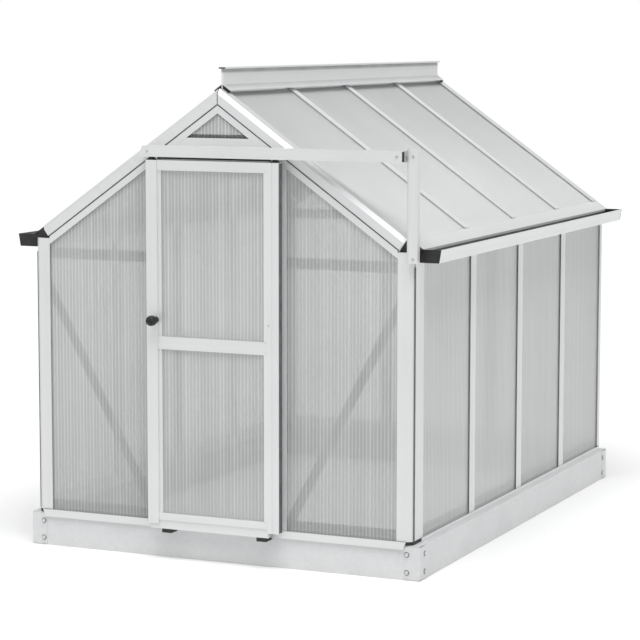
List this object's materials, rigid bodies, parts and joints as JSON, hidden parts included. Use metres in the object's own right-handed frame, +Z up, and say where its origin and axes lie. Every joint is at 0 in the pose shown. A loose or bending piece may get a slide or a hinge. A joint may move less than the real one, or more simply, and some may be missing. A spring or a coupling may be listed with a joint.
{
  "type": "greenhouse",
  "caption": "Walk-in greenhouse with a pitched roof, twin-wall sheets in aluminium bars on a steel base, gutters, a hung sliding door and a roof vent.",
  "frame": {"origin": "on the ground under the base, at the middle of its four anchor holes", "axes": "+X to the right seen from the door, +Y from the door to the rear wall, +Z up"},
  "size_m": [1.968, 2.681, 2.0845],
  "materials": {
    "frame_aluminium": "satin",
    "base_steel": "satin",
    "twin_wall_sheet": "translucent",
    "black_plastic": "matte",
    "zinc_screws": "satin"
  },
  "bodies": {
    "house": {"base_bolts": "zinc_screws", "base_corner_covers": "base_steel", "base_rail_front": "base_steel", "base_rail_left": "base_steel", "base_rail_rear": "base_steel", "base_rail_right": "base_steel", "corner_post_front_left": "frame_aluminium", "corner_post_front_right": "frame_aluminium", "corner_post_rear_left": "frame_aluminium", "corner_post_rear_right": "frame_aluminium", "cross_rails": "frame_aluminium", "door_jamb_left": "frame_aluminium", "door_jamb_right": "frame_aluminium", "door_track": "frame_aluminium", "eave_beam_left": "frame_aluminium", "eave_beam_right": "frame_aluminium", "eave_end_caps": "black_plastic", "gable_bars_front": "frame_aluminium", "gable_bars_rear": "frame_aluminium", "gutter_end_caps": "black_plastic", "gutter_left": "frame_aluminium", "gutter_right": "frame_aluminium", "header_front": "frame_aluminium", "header_rear": "frame_aluminium", "rear_studs": "frame_aluminium", "ridge_beam": "frame_aluminium", "ridge_cap": "frame_aluminium", "roof_bars_left": "frame_aluminium", "roof_bars_right": "frame_aluminium", "roof_edge_rafters_front": "frame_aluminium", "roof_edge_rafters_rear": "frame_aluminium", "roof_panels_left": "twin_wall_sheet", "roof_panels_right": "twin_wall_sheet", "side_studs_left": "frame_aluminium", "side_studs_right": "frame_aluminium", "sill_corner_keys": "black_plastic", "sill_front": "frame_aluminium", "sill_rear": "frame_aluminium", "sills_side": "frame_aluminium", "track_screws": "zinc_screws", "track_splice": "frame_aluminium", "track_support_post": "frame_aluminium", "wall_braces": "frame_aluminium", "wall_panels_front": "twin_wall_sheet", "wall_panels_left": "twin_wall_sheet", "wall_panels_rear": "twin_wall_sheet", "wall_panels_right": "twin_wall_sheet"},
    "door": {"door_catch_screw": "zinc_screws", "door_feet": "black_plastic", "door_hangers": "black_plastic", "door_knob": "frame_aluminium", "door_panels": "twin_wall_sheet", "door_rails": "frame_aluminium", "door_stile_left": "frame_aluminium", "door_stile_right": "frame_aluminium"},
    "wheel_left": {"door_wheel_left": "black_plastic"},
    "wheel_right": {"door_wheel_right": "black_plastic"},
    "vent": {"vent_frame": "frame_aluminium", "vent_panel": "twin_wall_sheet"},
    "stay": {"vent_stay": "frame_aluminium"}
  },
  "joints": [
    {"name": "door_slide", "type": "slide", "parent": "house", "child": "door", "axis": [1, 0, 0], "range_m": [0, 0.54]},
    {"name": "wheel_left_spin", "type": "hinge", "parent": "door", "child": "wheel_left", "pos_m": [-0.285, -1.3253, 1.72798], "axis": [0, 1, 0], "range_deg": [0, 2385]},
    {"name": "wheel_right_spin", "type": "hinge", "parent": "door", "child": "wheel_right", "pos_m": [0.285, -1.3253, 1.72798], "axis": [0, 1, 0], "range_deg": [0, 2385]},
    {"name": "vent_hinge", "type": "hinge", "parent": "house", "child": "vent", "pos_m": [-0.04321, -0.267, 1.97181], "axis": [0, 1, 0], "range_deg": [0, 40]},
    {"name": "stay_hinge", "type": "hinge", "parent": "house", "child": "stay", "pos_m": [-0.44197, -0.267, 1.65762], "axis": [0, -1, 0], "range_deg": [0, 110]}
  ],
  "couplings": [
    {"joint": "wheel_left_spin", "follows": "door_slide", "rad_per_m": 76.923},
    {"joint": "wheel_right_spin", "follows": "door_slide", "rad_per_m": 76.923}
  ]
}
